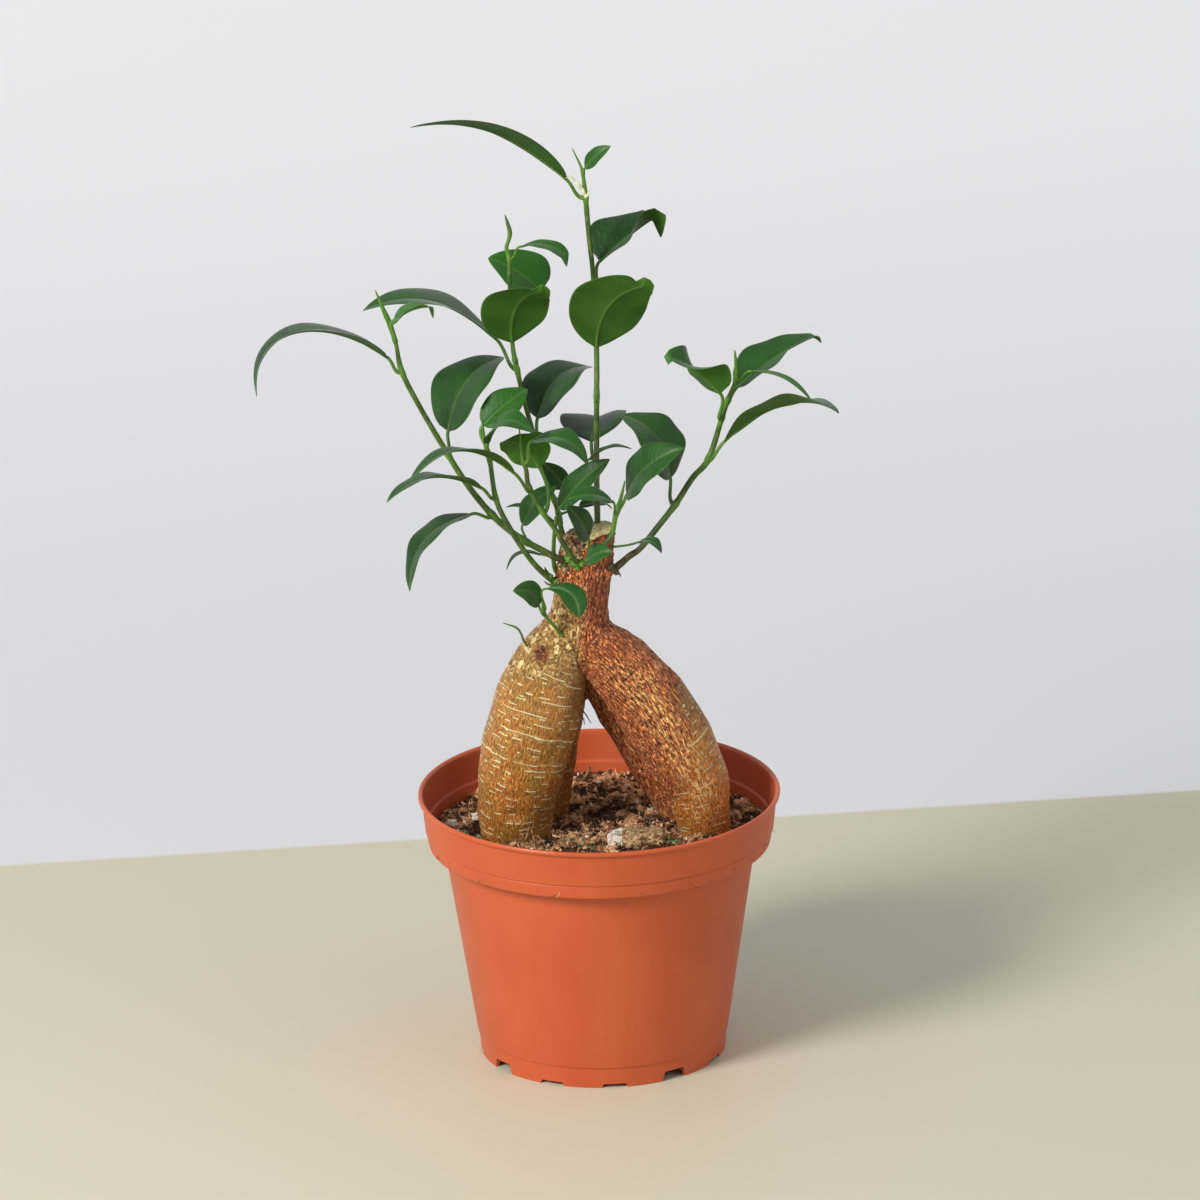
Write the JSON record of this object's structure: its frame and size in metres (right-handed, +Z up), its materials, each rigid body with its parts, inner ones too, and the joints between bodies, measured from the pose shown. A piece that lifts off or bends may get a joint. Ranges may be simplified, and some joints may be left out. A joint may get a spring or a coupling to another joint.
{
  "type": "potted ginseng ficus",
  "caption": "Ginseng ficus with a swollen forked rootstock, leafy green shoots and glossy leaves, growing in a round tapered nursery pot.",
  "frame": {"origin": "centre of the pot's footprint, on the surface that the pot stands on", "axes": "+Z up along the pot's axis, -Y towards the plant's front, where the two thick root legs stand side by side, +X to the right seen from the front"},
  "size_m": [0.2423, 0.152, 0.4133],
  "materials": {
    "pot_plastic": "satin terracotta-orange moulded plastic",
    "potting_mix": "loose dark brown peat with fibres and white perlite",
    "bark": "thin golden to reddish brown bark with pale cross lenticels",
    "green_shoot": "satin green young bark",
    "withered_twig": "dry brownish green",
    "leaf_blade": "glossy dark green, paler below"
  },
  "bodies": {
    "root": {"pot": "pot_plastic", "soil": "potting_mix", "rootstock": "bark", "stem_tall": "green_shoot", "stem_middle": "green_shoot", "stem_left": "green_shoot", "stem_right": "green_shoot", "stem_low_left": "green_shoot", "stem_front": "green_shoot", "stem_inner": "green_shoot", "stem_stump": "green_shoot", "stem_shoulder": "green_shoot", "twig_withered": "withered_twig", "leaf_tall_1": "leaf_blade", "leaf_tall_2": "leaf_blade", "leaf_tall_3": "leaf_blade", "leaf_tall_4": "leaf_blade", "leaf_tall_5": "leaf_blade", "leaf_tall_6": "leaf_blade", "leaf_middle_1": "leaf_blade", "leaf_middle_2": "leaf_blade", "leaf_middle_3": "leaf_blade", "leaf_middle_4": "leaf_blade", "leaf_middle_5": "leaf_blade", "leaf_middle_6": "leaf_blade", "leaf_middle_7": "leaf_blade", "leaf_middle_8": "leaf_blade", "leaf_left_1": "leaf_blade", "leaf_left_2": "leaf_blade", "leaf_left_3": "leaf_blade", "leaf_left_4": "leaf_blade", "leaf_low_left_1": "leaf_blade", "leaf_low_left_2": "leaf_blade", "leaf_low_left_3": "leaf_blade", "leaf_front_1": "leaf_blade", "leaf_front_2": "leaf_blade", "leaf_front_3": "leaf_blade", "leaf_left_5": "leaf_blade", "leaf_inner_1": "leaf_blade", "leaf_inner_2": "leaf_blade", "leaf_stump_1": "leaf_blade", "leaf_stump_2": "leaf_blade", "leaf_stump_3": "leaf_blade", "leaf_stump_4": "leaf_blade", "leaf_stump_5": "leaf_blade", "leaf_right_1": "leaf_blade", "leaf_right_2": "leaf_blade", "leaf_right_3": "leaf_blade", "leaf_right_4": "leaf_blade", "leaf_right_5": "leaf_blade", "leaf_shoulder_1": "leaf_blade", "leaf_shoulder_2": "leaf_blade"}
  },
  "joints": []
}
